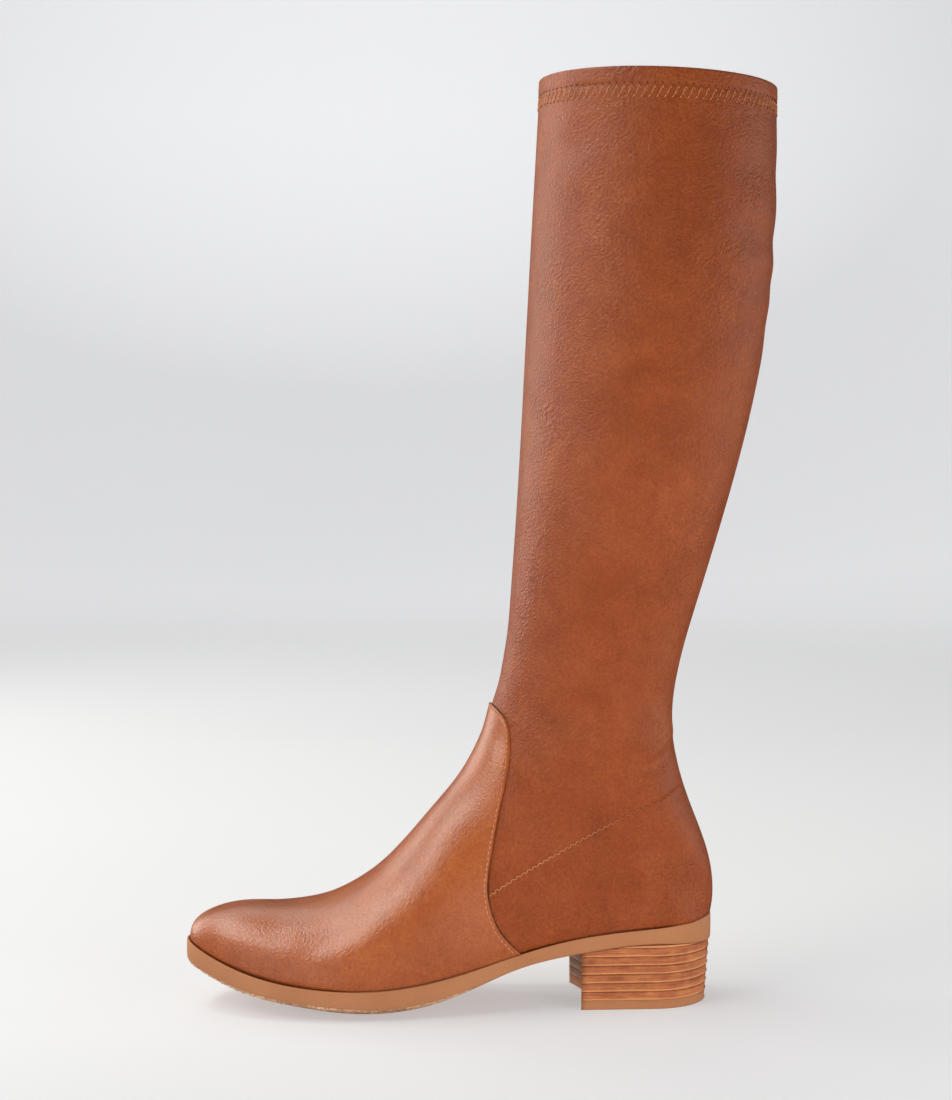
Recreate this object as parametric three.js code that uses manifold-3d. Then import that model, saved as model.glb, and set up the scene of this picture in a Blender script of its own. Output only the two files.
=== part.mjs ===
// A pull-on knee-high boot for the left foot, with a low stacked block heel.
// Millimetres. +X points to the toe, +Y to the wearer's left (the outer side), +Z up.
// The forms are drawn from the back of the sole (x = 0) and from the floor (z = 0),
// and the whole boot is then moved so that the middle of its box stands on the origin.

import * as THREE from 'three';
import { mergeVertices } from 'three/addons/utils/BufferGeometryUtils.js';
import Module from 'manifold-3d';

const wasm = await Module();
wasm.setup();

// Driving sizes.
const SOLE_LENGTH = 258; // back of the outsole to its toe
const BALL_WIDTH = 86; // upper across the joints
const BOOT_HEIGHT = 450; // floor to the front of the collar
const WALL = 2; // leg leather and lining together
const OVERLAY = 1.2; // vamp leather lapped over the leg
const GAP = 0.3; // air left between two pieces
const LASTING_MARGIN = 14; // upper turned in under the foot
const SOCK = 3; // insole board and sock on the turned margin
const TOP_PIECE = 4.7; // wearing layer under the heel
const LIFT = 4.3; // one layer of the heel stack
const LIFTS = 6; // the last one is a wedge under the sloping seat
const HEEL_LEAN = 2.2; // how far the heel's back leans in at the floor
const HEEL_INSET = 0.8; // stack set in from the outsole's edge
const BREAST = 61; // heel breast at its deepest
const BREAST_HOLLOW = 6; // how far the breast's corners stand forward of that
const HEEL_WIDTH_FROM = 10; // the heel's width is the sole's width this far behind the breast
const VAMP_TUCK = 3; // vamp leather tucked down behind the outsole's edge
const SOCK_SPREAD = 3; // how far the sock may reach out past the sole's edge, inside the wall
const SOCK_SUNK = 2; // sock kept this much lower than its full thickness
const SLIM = 0.5; // least half-width of a body where its outline closes
const OVERRUN = 5; // how far a cutter runs on past the face that it opens
const FAR_PAST = 20; // the same, where the face slopes

// Sections of the upper from the toe to the collar. Each lies in a plane through its front
// (top) point and its back (bottom) point. x is in thousandths of the sole length, z of the
// boot height, half-widths and shift of the ball width. "wide" is where the section is
// widest, as a share of the way from back to front, and the two powers are how square the
// front and back halves are. "steps" leads on to the next section.
const UPPER_COLUMNS = [
  'steps', 'frontX', 'frontZ', 'backX', 'backZ', 'outer', 'inner', 'shift', 'wide',
  'frontPower', 'backPower',
];
const UPPER = {
  tip: [3, 985, 106, 985, 69, 440, 430, -12, 0.42, 2.3, 3.6],
  toe: [3, 891, 105, 903, 40, 470, 450, -23, 0.36, 2.3, 4.4],
  joint: [3, 740, 109, 760, 26, 505, 490, -6, 0.3, 2.2, 4.8],
  ball: [2, 624, 151, 643, 23, 512, 465, 12, 0.26, 2.1, 4.8],
  waist: [3, 537, 206, 496, 36, 450, 380, 29, 0.25, 2.1, 5],
  instep: [3, 478, 247, 357, 57, 384, 337, 23, 0.28, 2.2, 5.5],
  pass: [2, 438, 289, 194, 75, 380, 360, 12, 0.34, 2.3, 6.5],
  seat: [2, 428, 306, 78, 80, 375, 365, 4, 0.38, 2.3, 6],
  heel: [2, 421, 321, 18, 82, 375, 368, 0, 0.42, 2.3, 3.2],
  counter: [3, 409, 343, -1, 137, 372, 366, 0, 0.45, 2.2, 2.5],
  ankle: [2, 400, 367, 38, 210, 384, 378, 0, 0.5, 2.1, 2.3],
  throat: [2, 392, 394, 75, 294, 390, 390, 0, 0.5, 2.1, 2.2],
  shin: [2, 384, 442, 35, 425, 453, 453, 0, 0.5, 2.1, 2.1],
  lowCalf: [3, 372, 543, -26, 543, 558, 558, 0, 0.5, 2, 2.1],
  calf: [2, 357, 701, -91, 701, 645, 645, 0, 0.5, 2, 2],
  highCalf: [2, 344, 843, -115, 843, 663, 663, 0, 0.5, 2, 2],
  collar: [0, 329, 1000, -116, 990, 657, 657, 0, 0.5, 2, 2],
};

// Sections of the outsole from the back to the toe. x is in thousandths of the sole length
// and the half-widths of the ball width, before the two ends are rounded. Top and bottom are
// heights of the sole's edge in mm, and crown is how much lower its middle is.
const SOLE_COLUMNS = ['steps', 'x', 'outer', 'inner', 'top', 'bottom', 'crown'];
const SOLE = {
  back: [7, 0, 360, 355, 42.8, 29.6, 0],
  seat: [3, 120, 362, 355, 39.6, 31.8, 0],
  breast: [2, 250, 372, 345, 36.0, 28.4, 0],
  waist: [2, 375, 410, 325, 28.9, 22.0, 0.5],
  shank: [3, 485, 470, 385, 20.9, 12.0, 4],
  ball: [3, 640, 530, 490, 14.6, 5.4, 6.1],
  joint: [3, 756, 535, 515, 15.3, 7.4, 6],
  toe: [7, 891, 510, 490, 21.3, 12.7, 2.6],
  tip: [0, 1000, 480, 470, 32.0, 22.6, 0.5],
};
const CROWN_POINTS = [1, 0.85, 0.68, 0.45]; // across the underside, from edge to flat

// Rounding of the two ends: where it starts, in shares of the length, and how full it is.
const OUTER_TOE = { start: 0.65, power: 2.1 };
const INNER_TOE = { start: 0.73, power: 2.1 };
const TOE_TOP = { start: 0.85, power: 2.7 };
const HEEL_ROUND = 30; // radius of the seat in plan
const TOE_STEPS = 6;
const QUARTER_STEPS = 7; // around a quarter of a section
const QUARTER_SAMPLES = 64; // points along the true curve of a quarter
const TIP_LEAD = 0.35; // the upper's first ring, in steps from its tip
const SEAT_LEAD = 0.3; // the sole's first section, in steps from its back
const SOLE_TIP_LEAD = 0.7; // the sole's first section past the toe row, in steps
const VAMP_EDGE_STEPS = 24;
const HEEL_ROUND_STEPS = 12;
const BREAST_SHARES = [-1, -0.75, -0.4, 0, 0.4, 0.75, 1]; // points across the heel breast

// The vamp's back edge seen from the side, in mm, from the instep down to the sole.
const VAMP_EDGE = [
  [110, 147], [105.5, 143], [101.8, 133], [104, 112], [108, 94], [111.5, 75],
  [113, 59], [110.6, 48], [105.5, 38], [96, 28], [91, 21],
];

// Natural cubic splines, one for each column, through the rows of a table at its knots.
function naturalSpline(knots, rows) {
  const last = knots.length - 1;
  const gaps = knots.slice(1).map((knot, i) => knot - knots[i]);
  const bends = rows.map((row) => row.map(() => 0));
  rows[0].forEach((_, c) => {
    const ratio = [0];
    const right = [0];
    for (let i = 1; i < last; i++) {
      const rise = (rows[i + 1][c] - rows[i][c]) / gaps[i];
      const kink = rise - (rows[i][c] - rows[i - 1][c]) / gaps[i - 1];
      const pivot = 2 * (gaps[i - 1] + gaps[i]) - gaps[i - 1] * ratio[i - 1];
      ratio[i] = gaps[i] / pivot;
      right[i] = (6 * kink - gaps[i - 1] * right[i - 1]) / pivot;
    }
    for (let i = last - 1; i > 0; i--) {
      bends[i][c] = right[i] - ratio[i] * bends[i + 1][c];
    }
  });
  return (at) => {
    let i = 0;
    while (i < last - 1 && at > knots[i + 1]) i++;
    const a = (knots[i + 1] - at) / gaps[i];
    const b = (at - knots[i]) / gaps[i];
    const bow = gaps[i] ** 2 / 6;
    return rows[i].map((value, c) => (
      a * value + b * rows[i + 1][c]
      + bow * ((a ** 3 - a) * bends[i][c] + (b ** 3 - b) * bends[i + 1][c])
    ));
  };
}

// Rows of numbers read back as a record of named values.
const named = (columns, values) => Object.fromEntries(columns.map((name, i) => [name, values[i]]));

// Places along the knots, with each row's own number of steps to the next.
function stations(knots, steps) {
  const places = knots.slice(0, -1).flatMap((knot, i) => (
    Array.from({ length: steps[i] }, (_, j) => knot + ((knots[i + 1] - knot) * j) / steps[i])
  ));
  return [...places, knots.at(-1)];
}

// How much of a width is left at x, where it rounds off from start to end.
function rounding(x, start, end, power) {
  const k = THREE.MathUtils.clamp((x - start) / (end - start), 0, 1);
  return (1 - k ** power) ** (1 / power);
}

// A quarter of a superellipse, as [along, across] at equal steps along its curve.
function quarter(along, across, power) {
  const curve = Array.from({ length: QUARTER_SAMPLES + 1 }, (_, i) => {
    const angle = (Math.PI / 2) * (i / QUARTER_SAMPLES);
    return [
      along * Math.abs(Math.cos(angle)) ** (2 / power),
      across * Math.sin(angle) ** (2 / power),
    ];
  });
  const run = [0];
  for (let i = 1; i <= QUARTER_SAMPLES; i++) {
    const [da, db] = [0, 1].map((c) => curve[i][c] - curve[i - 1][c]);
    run.push(run[i - 1] + Math.hypot(da, db));
  }
  const points = [curve[0]];
  let i = 1;
  for (let step = 1; step < QUARTER_STEPS; step++) {
    const goal = (run.at(-1) * step) / QUARTER_STEPS;
    while (run[i] < goal) i++;
    const t = (goal - run[i - 1]) / (run[i] - run[i - 1]);
    points.push([0, 1].map((c) => curve[i - 1][c] + t * (curve[i][c] - curve[i - 1][c])));
  }
  return [...points, [0, across]];
}

// A closed section from its four quarters, once around, as [forward, outward] points.
function outline(front, back, outer, inner, frontPower, backPower) {
  const quarters = [
    quarter(front, outer, frontPower),
    quarter(back, outer, backPower).map(([a, b]) => [-a, b]).reverse(),
    quarter(back, inner, backPower).map(([a, b]) => [-a, -b]),
    quarter(front, inner, frontPower).map(([a, b]) => [a, -b]).reverse(),
  ];
  return quarters.flatMap((points) => points.slice(0, -1));
}

// Thousandths of a driving size, in mm.
const scaled = (thousandths, size) => (thousandths * size) / 1000;

// The upper's table in mm, and the place of each section along the boot.
const upperRows = Object.values(UPPER).map(([, fx, fz, bx, bz, outer, inner, shift, ...rest]) => [
  scaled(fx, SOLE_LENGTH), scaled(fz, BOOT_HEIGHT),
  scaled(bx, SOLE_LENGTH), scaled(bz, BOOT_HEIGHT),
  ...[outer, inner, shift].map((width) => scaled(width, BALL_WIDTH)),
  ...rest,
]);
const upperKnots = upperRows.reduce((knots, row, i) => {
  if (i === 0) return [0];
  const before = upperRows[i - 1];
  const front = Math.hypot(row[0] - before[0], row[1] - before[1]);
  const back = Math.hypot(row[2] - before[2], row[3] - before[3]);
  return [...knots, knots[i - 1] + (front + back) / 2];
}, []);
const upperAt = naturalSpline(upperKnots, upperRows);
const TIP = upperRows[0][0];

// One section of the upper's form, grown outward by an offset, as a ring of 3-D points.
function upperRing(place, offset) {
  const s = named(UPPER_COLUMNS.slice(1), upperAt(place));
  const x = (s.frontX + s.backX) / 2;
  const low = rounding(x, TOE_TOP.start * TIP, TIP, TOE_TOP.power);
  const outerPlan = rounding(x, OUTER_TOE.start * TIP, TIP, OUTER_TOE.power);
  const innerPlan = rounding(x, INNER_TOE.start * TIP, TIP, INNER_TOE.power);
  const nearTip = (x / TIP - OUTER_TOE.start) / (1 - OUTER_TOE.start);
  const slide = offset * THREE.MathUtils.clamp(nearTip, 0, 1);
  const reach = Math.hypot(s.frontX - s.backX, s.frontZ - s.backZ) || 1;
  const [ux, uz] = [(s.frontX - s.backX) / reach, (s.frontZ - s.backZ) / reach];
  const middle = reach * s.wide * low;
  const ring = outline(
    (reach * (1 - s.wide) + offset) * low,
    (reach * s.wide + offset) * low,
    (s.outer + offset) * outerPlan,
    (s.inner + offset) * innerPlan,
    s.frontPower,
    s.backPower,
  );
  return ring.map(([forward, outward]) => new THREE.Vector3(
    s.backX + slide + ux * (middle + forward),
    s.shift + outward,
    s.backZ + uz * (middle + forward),
  ));
}

// A closed body through rings of points, with a fan over the first and the last ring.
function loft(rings) {
  const around = rings[0].length;
  const points = rings.flat();
  const faces = [];
  for (let i = 0; i < rings.length - 1; i++) {
    for (let j = 0; j < around; j++) {
      const k = (j + 1) % around;
      const [a, b] = [i * around + j, i * around + k];
      faces.push(a, b, b + around, a, b + around, a + around);
    }
  }
  const ends = [[rings[0], 0, false], [rings.at(-1), points.length - around, true]];
  for (const [ring, start, flip] of ends) {
    const middle = ring.reduce((sum, p) => sum.add(p), new THREE.Vector3()).divideScalar(around);
    const centre = points.push(middle) - 1;
    for (let j = 0; j < around; j++) {
      const [a, b] = [start + j, start + ((j + 1) % around)];
      faces.push(...(flip ? [centre, a, b] : [centre, b, a]));
    }
  }
  return solid(new Float32Array(points.flatMap((p) => p.toArray())), new Uint32Array(faces));
}

// A manifold solid with its faces turned outward, whichever way its rings run.
function solid(positions, faces) {
  let volume = 0;
  const corner = (i) => new THREE.Vector3().fromArray(positions, 3 * faces[i]);
  for (let i = 0; i < faces.length; i += 3) {
    volume += corner(i).dot(corner(i + 1).cross(corner(i + 2)));
  }
  const triVerts = volume > 0 ? faces : faces.map((_, i) => faces[i - (i % 3) + (2 - (i % 3))]);
  return new wasm.Manifold(new wasm.Mesh({ numProp: 3, vertProperties: positions, triVerts }));
}

// The whole form of the upper, toe to collar, grown by an offset. It may run on over the collar.
function upperForm(offset, over = 0) {
  const steps = Object.values(UPPER).map(([count]) => count);
  const toe = Array.from({ length: TOE_STEPS }, (_, i) => (
    upperKnots[1] * (1 - Math.cos(((i + TIP_LEAD) / TOE_STEPS) * (Math.PI / 2)))
  ));
  const places = [...toe, ...stations(upperKnots, steps).filter((place) => place >= upperKnots[1])];
  const rings = places.map((place) => upperRing(place, offset));
  if (over > 0) {
    rings.push(rings.at(-1).map((p) => p.clone().setZ(p.z + over)));
  }
  return loft(rings);
}

// The outsole's table in mm, and its edge at any x.
const soleRows = Object.values(SOLE).map(([, , outer, inner, ...heights]) => [
  scaled(outer, BALL_WIDTH), scaled(inner, BALL_WIDTH), ...heights,
]);
const soleKnots = Object.values(SOLE).map(([, x]) => scaled(x, SOLE_LENGTH));
const soleSpline = naturalSpline(soleKnots, soleRows);

function soleAt(x) {
  const s = named(SOLE_COLUMNS.slice(2), soleSpline(x));
  const heel = rounding(HEEL_ROUND - x, 0, HEEL_ROUND, 2);
  s.outer *= heel * rounding(x, OUTER_TOE.start * SOLE_LENGTH, SOLE_LENGTH, OUTER_TOE.power);
  s.inner *= heel * rounding(x, INNER_TOE.start * SOLE_LENGTH, SOLE_LENGTH, INNER_TOE.power);
  return s;
}

// Places along the sole, closer together where its ends round off.
function solePlaces() {
  const steps = Object.values(SOLE).map(([count]) => count);
  const heelSteps = steps[0];
  const toeSteps = steps.at(-2);
  const toeStart = soleKnots.at(-2);
  const heel = Array.from({ length: heelSteps }, (_, i) => (
    soleKnots[1] * (1 - Math.cos(((i + SEAT_LEAD) / heelSteps) * (Math.PI / 2)))
  ));
  const toe = Array.from({ length: toeSteps }, (_, i) => (
    toeStart
    + (SOLE_LENGTH - toeStart) * Math.sin(((i + SOLE_TIP_LEAD) / toeSteps) * (Math.PI / 2))
  ));
  const middle = stations(soleKnots, steps).filter((x) => x >= soleKnots[1] && x <= toeStart);
  return [...heel, ...middle, ...toe];
}

// A body that follows the sole's outline, grown by an offset, between two heights that are
// worked out from the sole's own section.
function soleBody(offset, topOf, bottomOf) {
  return loft(solePlaces().map((x) => {
    const s = soleAt(x);
    const slid = x + offset * ((2 * x) / SOLE_LENGTH - 1);
    const outer = Math.max(s.outer + offset, SLIM);
    const inner = Math.max(s.inner + offset, SLIM);
    const top = topOf(s);
    const under = (share) => {
      const curl = Math.max(0, (share - CROWN_POINTS.at(-1)) / (1 - CROWN_POINTS.at(-1)));
      return bottomOf(s, curl ** 2);
    };
    return [
      new THREE.Vector3(slid, -inner, top),
      new THREE.Vector3(slid, outer, top),
      ...CROWN_POINTS.map((share) => new THREE.Vector3(slid, outer * share, under(share))),
      ...CROWN_POINTS.toReversed().map((share) => (
        new THREE.Vector3(slid, -inner * share, under(share))
      )),
    ];
  }));
}

// The underside of the outsole: a soft crown that rests flat on the floor at the ball.
const underside = (s, curl) => Math.max(0, s.bottom - s.crown * (1 - curl));

// What the foot opening under the upper takes away, a margin in from the sole's edge.
function footOpening(inset) {
  return soleBody(-LASTING_MARGIN - inset, (s) => s.top + WALL + SOCK, (s) => s.bottom - OVERRUN);
}

// A prism across the boot from a side view, as [x, z] points.
function acrossBoot(profile) {
  const shape = new THREE.Shape(profile.map(([x, z]) => new THREE.Vector2(x, z)));
  const depth = 3 * BALL_WIDTH;
  const prism = new THREE.ExtrudeGeometry(shape, { depth, bevelEnabled: false });
  prism.rotateX(Math.PI / 2);
  prism.translate(0, depth / 2, 0);
  prism.deleteAttribute('normal');
  prism.deleteAttribute('uv');
  const merged = mergeVertices(prism);
  return solid(merged.attributes.position.array, Uint32Array.from(merged.index.array));
}

// Everything forward of the vamp's back edge and above a line a little under the sole's top.
function vampRegion(shiftBack, drop) {
  const edge = new THREE.SplineCurve(VAMP_EDGE.map(([x, z]) => new THREE.Vector2(x - shiftBack, z)));
  const edgePoints = edge.getPoints(VAMP_EDGE_STEPS).map((p) => [p.x, p.y]);
  const sill = solePlaces()
    .filter((x) => x > edgePoints.at(-1)[0])
    .map((x) => [x, soleAt(x).top - drop]);
  const front = SOLE_LENGTH + FAR_PAST;
  return acrossBoot([
    ...edgePoints.filter(([, z]) => z > sill[0][1]),
    ...sill,
    [front, sill.at(-1)[1]],
    [front, VAMP_EDGE[0][1] + shiftBack],
  ]);
}

// The heel's outline in plan at a height, from the outer breast corner around the back.
function heelOutline(z) {
  const seat = soleKnots[1];
  const lean = HEEL_LEAN * (1 - z / soleAt(seat).bottom);
  const at = soleAt(BREAST - HEEL_WIDTH_FROM);
  const outer = at.outer - HEEL_INSET - lean;
  const inner = at.inner - HEEL_INSET - lean;
  const back = lean + HEEL_INSET;
  const arc = Array.from({ length: HEEL_ROUND_STEPS + 1 }, (_, i) => {
    const angle = (Math.PI * i) / HEEL_ROUND_STEPS;
    const side = Math.cos(angle);
    return [seat - (seat - back) * Math.sin(angle), side * (side > 0 ? outer : inner)];
  });
  const breast = BREAST_SHARES.map((share) => [
    BREAST + BREAST_HOLLOW * share ** 2,
    share * (share > 0 ? outer : inner),
  ]);
  return [...arc, ...breast].map(([x, y]) => new THREE.Vector3(x, y, z));
}

const heelLayer = (low, high) => loft([heelOutline(low), heelOutline(high)]);

// Materials.
const finish = (name, color, roughness) => (
  new THREE.MeshStandardMaterial({ name, color, roughness, metalness: 0 })
);
const legLeather = () => finish('leg leather', 0xa2623a, 0.45);
const vampLeather = () => finish('vamp leather', 0xa8673d, 0.42);
const soleRubber = () => finish('sole rubber', 0xac7852, 0.7);
const stackedHeel = () => finish('stacked heel', 0x9c5a38, 0.6);
const sockLeather = () => finish('sock leather', 0xc49a72, 0.7);

// A named mesh from a manifold solid.
function piece(name, body, material) {
  const mesh = body.getMesh();
  const geometry = new THREE.BufferGeometry();
  geometry.setAttribute('position', new THREE.BufferAttribute(mesh.vertProperties, 3));
  geometry.setIndex(new THREE.BufferAttribute(mesh.triVerts, 1));
  geometry.computeVertexNormals();
  const result = new THREE.Mesh(geometry, material);
  result.name = name;
  return result;
}

// The leg and foot in one hollow wall, open at the collar and under the foot.
function makeUpper() {
  const wall = upperForm(0).subtract(upperForm(-WALL, OVERRUN));
  return piece('upper', wall.subtract(footOpening(0)), legLeather());
}

// The vamp lies over the leg leather from the toe to the instep.
function makeVamp() {
  const skin = upperForm(GAP + OVERLAY).subtract(upperForm(GAP));
  return piece('vamp', skin.intersect(vampRegion(0, VAMP_TUCK)), vampLeather());
}

// The board plugs the opening under the foot, and the sock covers the turned margin.
function makeInsole() {
  const low = soleBody(SOCK_SPREAD, (s) => s.top + SOCK - SOCK_SUNK, (s) => s.bottom - OVERRUN);
  const sock = upperForm(-WALL - GAP, OVERRUN).intersect(low);
  const board = upperForm(0).intersect(footOpening(GAP)).intersect(low);
  return piece('insole', sock.add(board), sockLeather());
}

function makeOutsole() {
  const slab = soleBody(0, (s) => s.top, underside);
  const underLeg = upperForm(GAP);
  const underVamp = upperForm(2 * GAP + OVERLAY).intersect(vampRegion(GAP, VAMP_TUCK + GAP));
  return piece('outsole', slab.subtract(underLeg).subtract(underVamp), soleRubber());
}

function makeHeel() {
  const underSeat = soleBody(0, (s) => s.bottom - GAP, (s) => s.bottom - FAR_PAST);
  const layers = [piece('top_piece', heelLayer(0, TOP_PIECE), soleRubber())];
  for (let i = 0; i < LIFTS; i++) {
    const low = TOP_PIECE + i * LIFT;
    const isWedge = i === LIFTS - 1;
    const whole = heelLayer(low, isWedge ? low + 2 * LIFT : low + LIFT);
    const lift = isWedge ? whole.intersect(underSeat) : whole;
    layers.push(piece(`heel_lift_${i + 1}`, lift, stackedHeel()));
  }
  return layers;
}

const boot = new THREE.Group();
boot.add(makeUpper(), makeVamp(), makeInsole(), makeOutsole(), ...makeHeel());

const box = new THREE.Box3().setFromObject(boot);
const middle = box.getCenter(new THREE.Vector3());
boot.position.set(-middle.x, -middle.y, -box.min.z);

export default boot;
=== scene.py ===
# %% [markdown]
# # A pull-on knee boot around its solid model
# The solid model says how long, wide and tall every part of this boot is. Here each part gets
# its look: leather that folds over at the collar, a vamp lapped over the leg, real stitches,
# a rubber sole and a stacked heel. Drawing sizes are in millimetres from the back of the
# sole, and are turned into Blender's metres once, where a mesh is made.

import math
import random

import bpy
import numpy as np
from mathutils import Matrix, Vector
from mathutils.bvhtree import BVHTree


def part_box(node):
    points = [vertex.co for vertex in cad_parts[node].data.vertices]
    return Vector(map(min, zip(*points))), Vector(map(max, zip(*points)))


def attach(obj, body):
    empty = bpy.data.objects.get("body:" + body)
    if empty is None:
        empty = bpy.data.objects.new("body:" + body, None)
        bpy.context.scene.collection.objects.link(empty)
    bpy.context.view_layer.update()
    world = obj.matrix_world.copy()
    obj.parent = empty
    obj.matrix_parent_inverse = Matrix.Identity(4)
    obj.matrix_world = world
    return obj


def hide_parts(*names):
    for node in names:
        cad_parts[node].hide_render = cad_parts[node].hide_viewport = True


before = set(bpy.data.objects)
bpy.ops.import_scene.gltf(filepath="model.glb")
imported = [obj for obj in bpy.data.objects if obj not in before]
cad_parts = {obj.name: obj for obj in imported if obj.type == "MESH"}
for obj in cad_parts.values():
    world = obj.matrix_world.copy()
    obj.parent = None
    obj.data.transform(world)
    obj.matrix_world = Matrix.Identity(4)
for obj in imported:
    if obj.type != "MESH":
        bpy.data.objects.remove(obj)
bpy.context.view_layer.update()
sole_low, sole_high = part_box("outsole")
MM = 0.001
HEEL_BACK = np.array([sole_low.x, 0.0, 0.0])


def metres(points):
    """Boot millimetres, from the back of the sole, as frame metres."""
    return np.asarray(points, float) * MM + HEEL_BACK


def in_scene(name, data):
    """A new object in the scene."""
    made = bpy.data.objects.new(name, data)
    bpy.context.scene.collection.objects.link(made)
    return made


def facing(direction):
    """The turn that points a camera or a lamp along a direction."""
    return Vector(direction).to_track_quat("-Z", "Y").to_euler()


print("solids:", sorted(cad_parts))
print("sole from", round(sole_low.x, 4), "to", round(sole_high.x, 4), "m")

# %% [markdown]
# ## The camera
# A boot is shown from its outer side, a few degrees towards the toe. A long lens from about
# a metre away keeps the leg's sides nearly parallel. Every later choice is judged from here.

# %% Place the camera
VIEW_DISTANCE = 1.1
VIEW_TURN = math.radians(3.5)
VIEW_TILT = math.radians(2.85)
VIEW_HEIGHT = 0.2761
VIEW_CENTRE = 0.0024
LENS = 73.6

lens = bpy.data.cameras.new("camera")
lens.lens = LENS
camera = in_scene("camera", lens)
camera.location = (
    VIEW_CENTRE + VIEW_DISTANCE * math.sin(VIEW_TURN),
    VIEW_DISTANCE * math.cos(VIEW_TURN),
    VIEW_HEIGHT,
)
camera.rotation_euler = facing((
    -math.sin(VIEW_TURN) * math.cos(VIEW_TILT),
    -math.cos(VIEW_TURN) * math.cos(VIEW_TILT),
    -math.sin(VIEW_TILT),
))
bpy.context.scene.camera = camera
print("camera at", [round(c, 3) for c in camera.location])

# %% [markdown]
# ## The form of the upper
# A last and a leg form are known by a few sections, each in a plane through a front point and
# a back point, so the planes fan around the instep as a shoemaker's tape does. Smooth curves
# through the rows give a section anywhere. The same rows shaped the solid.

# %% The driving sizes and the table of sections
SOLE_LENGTH = 258
BALL_WIDTH = 86
BOOT_HEIGHT = 450
WALL = 2

# front x and z, back x and z, outer, inner, shift, widest, front and back power: x in
# thousandths of the length, z of the height, widths of the ball width.
UPPER = np.array([
    [985, 106, 985, 69, 440, 430, -12, 0.42, 2.3, 3.6],  # tip
    [891, 105, 903, 40, 470, 450, -23, 0.36, 2.3, 4.4],  # toe
    [740, 109, 760, 26, 505, 490, -6, 0.3, 2.2, 4.8],  # joint
    [624, 151, 643, 23, 512, 465, 12, 0.26, 2.1, 4.8],  # ball
    [537, 206, 496, 36, 450, 380, 29, 0.25, 2.1, 5],  # waist
    [478, 247, 357, 57, 384, 337, 23, 0.28, 2.2, 5.5],  # instep
    [438, 289, 194, 75, 380, 360, 12, 0.34, 2.3, 6.5],  # pass
    [428, 306, 78, 80, 375, 365, 4, 0.38, 2.3, 6],  # seat
    [421, 321, 18, 82, 375, 368, 0, 0.42, 2.3, 3.2],  # heel
    [409, 343, -1, 137, 372, 366, 0, 0.45, 2.2, 2.5],  # counter
    [400, 367, 38, 210, 384, 378, 0, 0.5, 2.1, 2.3],  # ankle
    [392, 394, 75, 294, 390, 390, 0, 0.5, 2.1, 2.2],  # throat
    [384, 442, 35, 425, 453, 453, 0, 0.5, 2.1, 2.1],  # shin
    [372, 543, -26, 543, 558, 558, 0, 0.5, 2, 2.1],  # low calf
    [357, 701, -91, 701, 645, 645, 0, 0.5, 2, 2],  # calf
    [344, 843, -115, 843, 663, 663, 0, 0.5, 2, 2],  # high calf
    [329, 1000, -116, 990, 657, 657, 0, 0.5, 2, 2],  # collar
])
UPPER[:, [0, 2]] *= SOLE_LENGTH / 1000
UPPER[:, [1, 3]] *= BOOT_HEIGHT / 1000
UPPER[:, 4:7] *= BALL_WIDTH / 1000
WAIST = 4
TIP = UPPER[0, 0]
OUTER_TOE = (0.65, 2.1)
INNER_TOE = (0.73, 2.1)
TOE_TOP = (0.85, 2.7)


def natural_spline(knots, rows):
    """Smooth curves through the rows at their knots, one for each column."""
    gaps = np.diff(knots)
    count = len(knots)
    system = np.eye(count)
    right = np.zeros_like(rows)
    for i in range(1, count - 1):
        system[i, i - 1:i + 2] = gaps[i - 1], 2 * (gaps[i - 1] + gaps[i]), gaps[i]
        slopes = np.diff(rows[i - 1:i + 2], axis=0) / gaps[i - 1:i + 1, None]
        right[i] = 6 * (slopes[1] - slopes[0])
    bends = np.linalg.solve(system, right)

    def value(at):
        at = np.atleast_1d(np.asarray(at, float))
        i = np.clip(np.searchsorted(knots, at, side="right") - 1, 0, count - 2)
        gap = gaps[i]
        a = ((knots[i + 1] - at) / gap)[:, None]
        b = 1 - a
        bow = (gap ** 2 / 6)[:, None]
        straight = a * rows[i] + b * rows[i + 1]
        return straight + bow * ((a ** 3 - a) * bends[i] + (b ** 3 - b) * bends[i + 1])

    return value


fronts = np.hypot(*np.diff(UPPER[:, 0:2], axis=0).T)
backs = np.hypot(*np.diff(UPPER[:, 2:4], axis=0).T)
upper_knots = np.concatenate([[0], np.cumsum((fronts + backs) / 2)])
upper_at = natural_spline(upper_knots, UPPER)
TOP = upper_knots[-1]
print("from toe to collar along the boot:", round(TOP), "mm")

# %% One section as a ring of points
def rounding(x, start, end, power):
    """How much of a width is left where an end rounds off."""
    k = np.clip((x - start) / (end - start), 0, 1)
    return (1 - k ** power) ** (1 / power)


def quarter(along, across, power, steps):
    """A quarter of a squared-off ellipse in equal steps along its curve."""
    angle = np.linspace(0, math.pi / 2, 129)
    a = along * np.abs(np.cos(angle)) ** (2 / power)
    b = across * np.sin(angle) ** (2 / power)
    a[-1] = 0
    run = np.concatenate([[0], np.cumsum(np.hypot(np.diff(a), np.diff(b)))])
    stops = np.linspace(0, run[-1], steps + 1)
    return np.stack([np.interp(stops, run, a), np.interp(stops, run, b)], 1)


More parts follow.
